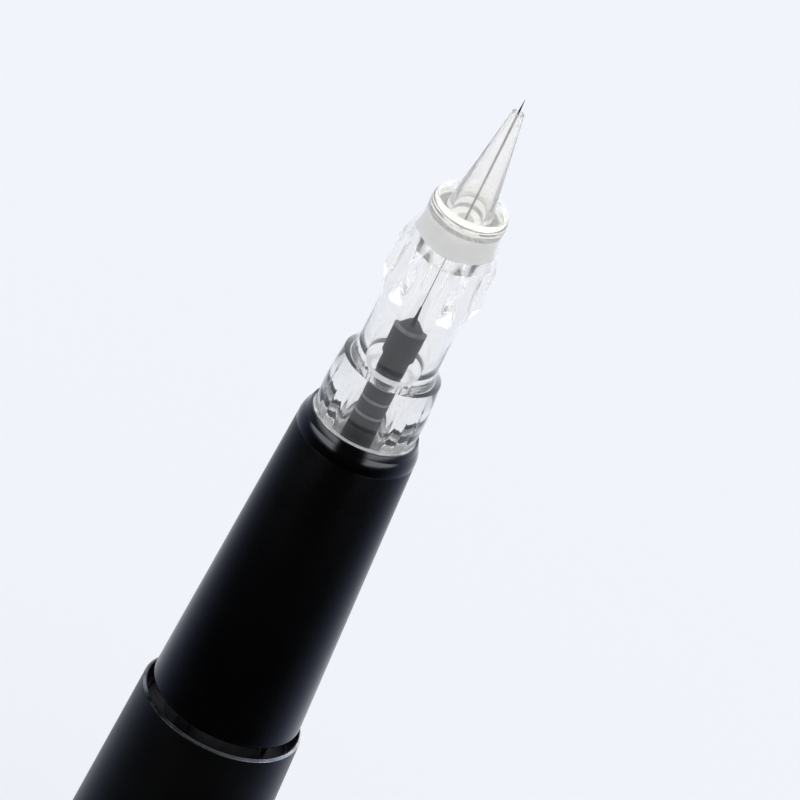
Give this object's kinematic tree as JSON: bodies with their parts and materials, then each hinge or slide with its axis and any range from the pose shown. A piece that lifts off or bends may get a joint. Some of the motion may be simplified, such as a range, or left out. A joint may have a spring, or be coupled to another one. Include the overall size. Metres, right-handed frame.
{
  "type": "rotary cartridge pen",
  "caption": "Slim powered pen with a tapered black grip, a twist depth adjuster and a clear push-in needle cartridge.",
  "frame": {"origin": "centre of the flat rear face that the pen stands on, on the pen's axis", "axes": "+Z along the pen from the rear face to the needle's point; +X through the cam follower's foot, the seat's lug slots and the ground tag"},
  "size_m": [0.025, 0.025, 0.161],
  "materials": {
    "black_anodised": "satin black anodised aluminium",
    "black_polished": "glossier black anodised aluminium",
    "black_rubber": "matt",
    "grey_plastic": "moulded",
    "nickel": "nickel plated",
    "brass": "turned",
    "red_wire": "insulated wire",
    "steel": "machined",
    "carbon": "pressed carbon",
    "copper": "enamelled winding",
    "aluminium": "turned",
    "black_steel": "blackened",
    "black_plastic": "moulded",
    "clear_plastic": "clear moulded polycarbonate",
    "milky_plastic": "milky translucent",
    "silicone": "soft translucent",
    "charcoal_plastic": "moulded charcoal",
    "needle_steel": "polished needle wire"
  },
  "bodies": {
    "handle": {"barrel_shell": "black_anodised", "rear_cap": "black_anodised", "cap_seal_ring": "black_rubber", "liner_tube": "grey_plastic", "inlet_sleeve": "nickel", "inlet_insulator": "grey_plastic", "inlet_contact": "brass", "inlet_nut": "nickel", "ground_tag": "nickel", "leads": "red_wire", "motor_can": "steel", "motor_end_bell": "grey_plastic", "motor_bearings": "brass", "motor_magnet": "steel", "motor_brushes": "carbon", "motor_terminals": "nickel", "motor_screws": "steel", "drive_frame": "aluminium", "guide_bush": "brass", "friction_ring": "black_rubber", "detent_ball": "steel", "detent_spring": "steel", "retaining_ring": "black_steel"},
    "rotor": {"motor_shaft": "steel", "motor_winding": "copper", "motor_commutator": "brass", "swash_cam": "steel", "cam_set_screw": "steel"},
    "drive": {"drive_bar": "steel", "cam_follower": "grey_plastic", "anti_turn_pin": "steel", "return_spring": "steel"},
    "click": {"click_ring": "black_plastic"},
    "grip": {"grip_shell": "black_anodised", "thread_sleeve": "black_anodised", "cartridge_seat": "aluminium", "seat_grip_ring": "black_rubber", "nose_ring": "black_polished"},
    "cartridge": {"cartridge_shell": "clear_plastic", "membrane": "silicone", "cartridge_tip": "clear_plastic", "tip_insert": "milky_plastic"},
    "needle_bar": {"plunger": "charcoal_plastic", "needle": "needle_steel", "needle_collar": "charcoal_plastic"}
  },
  "joints": [
    {"name": "motor_spin", "type": "hinge", "parent": "handle", "child": "rotor", "pos_m": [0, 0, 0.05], "axis": [0, 0, 1], "continuous": true},
    {"name": "needle_stroke", "type": "slide", "parent": "handle", "child": "drive", "axis": [0, 0, 1], "range_m": [-0.0025, 0], "stiffness_N_per_m": 300, "deforming": ["return_spring"]},
    {"name": "depth_turn", "type": "hinge", "parent": "handle", "child": "click", "pos_m": [0, 0, 0.059], "axis": [0, 0, 1], "range_deg": [-217, 145]},
    {"name": "depth_advance", "type": "slide", "parent": "click", "child": "grip", "axis": [0, 0, 1], "range_m": [-0.0024, 0.0016]},
    {"name": "cartridge_pull", "type": "slide", "parent": "grip", "child": "cartridge", "axis": [0, 0, 1], "range_m": [0, 0.026]},
    {"name": "needle_pull", "type": "slide", "parent": "drive", "child": "needle_bar", "axis": [0, 0, 1], "range_m": [0, 0.0261]}
  ],
  "couplings": [
    {"joint": "depth_turn", "follows": "depth_advance", "rad_per_m": 1570.8},
    {"joint": "needle_pull", "follows": "cartridge_pull", "ratio": 1}
  ]
}
